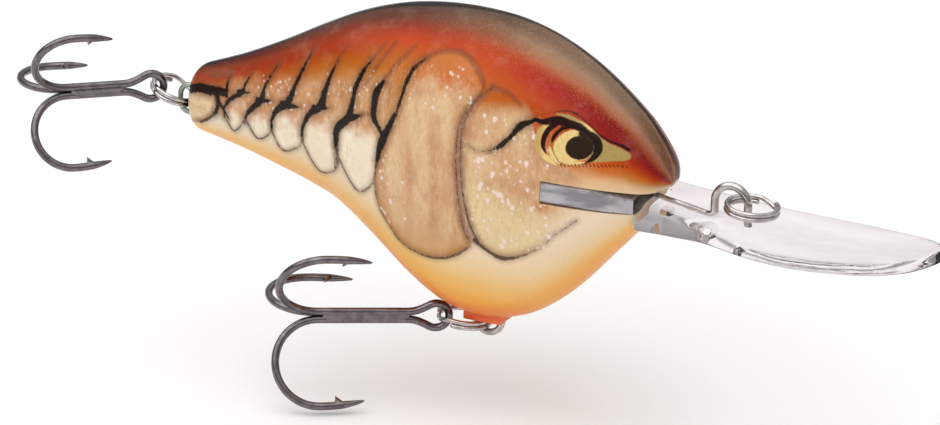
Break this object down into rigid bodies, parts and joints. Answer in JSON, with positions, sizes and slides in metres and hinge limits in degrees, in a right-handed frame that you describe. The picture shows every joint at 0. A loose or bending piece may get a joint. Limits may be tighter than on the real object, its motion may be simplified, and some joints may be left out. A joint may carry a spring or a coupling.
{
  "type": "crankbait lure",
  "caption": "Deep-bodied diving crankbait with a clear diving lip, a line-tie ring, treble hooks on split rings and an internal rattle",
  "frame": {"origin": "centre of the line-tie loop that stands on the lip", "axes": "+X to the nose and the lip's tip, +Z to the lure's back, so the right flank faces -Y"},
  "size_m": [0.113, 0.0243, 0.0461],
  "materials": {
    "lacquer": "painted balsa under clear gloss lacquer",
    "clear_lip": "clear polycarbonate",
    "bright_wire": "bright stainless wire",
    "ring_steel": "polished steel",
    "painted_lead": "lead ballast, its foot painted orange",
    "black_nickel": "black nickel plate",
    "coated_wire": "lacquered wire",
    "rattle_plastic": "natural plastic",
    "ball_steel": "ground steel"
  },
  "bodies": {
    "lure_body": {"body_right_half": "lacquer", "body_left_half": "lacquer", "diving_lip": "clear_lip", "line_tie_wire": "bright_wire", "belly_weight": "painted_lead", "belly_hanger": "bright_wire", "tail_hanger": "coated_wire", "rattle_tube": "rattle_plastic", "rattle_plug": "rattle_plastic"},
    "line_ring_body": {"line_tie_ring": "ring_steel"},
    "belly_ring_body": {"belly_ring": "ring_steel"},
    "belly_hook": {"belly_double_hook": "black_nickel", "belly_single_hook": "black_nickel"},
    "tail_ring_body": {"tail_ring": "ring_steel"},
    "tail_hook": {"tail_double_hook": "black_nickel", "tail_single_hook": "black_nickel"},
    "rattle_balls_body": {"rattle_balls": "ball_steel"}
  },
  "joints": [
    {"name": "line_ring_swing", "type": "hinge", "parent": "lure_body", "child": "line_ring_body", "pos_m": [0, 0, 0], "axis": [0, 1, 0], "range_deg": [-170, 10]},
    {"name": "belly_ring_swing", "type": "hinge", "parent": "lure_body", "child": "belly_ring_body", "pos_m": [-0.02938, 0, -0.0197], "axis": [0, -1, 0], "range_deg": [0, 110]},
    {"name": "belly_hook_swing", "type": "hinge", "parent": "belly_ring_body", "child": "belly_hook", "pos_m": [-0.03234, 0, -0.01944], "axis": [0.0872, 0, 0.9962], "range_deg": [-75, 25]},
    {"name": "tail_ring_swing", "type": "hinge", "parent": "lure_body", "child": "tail_ring_body", "pos_m": [-0.068, 0, -0.00015], "axis": [0, -1, 0], "range_deg": [-55, 110]},
    {"name": "tail_hook_swing", "type": "hinge", "parent": "tail_ring_body", "child": "tail_hook", "pos_m": [-0.07023, 0.00111, 0.00066], "axis": [0.342, 0, 0.9397], "range_deg": [-90, 25]},
    {"name": "rattle_slide", "type": "slide", "parent": "lure_body", "child": "rattle_balls_body", "axis": [1, 0, 0], "range_m": [-0.0009, 0.0009]}
  ]
}
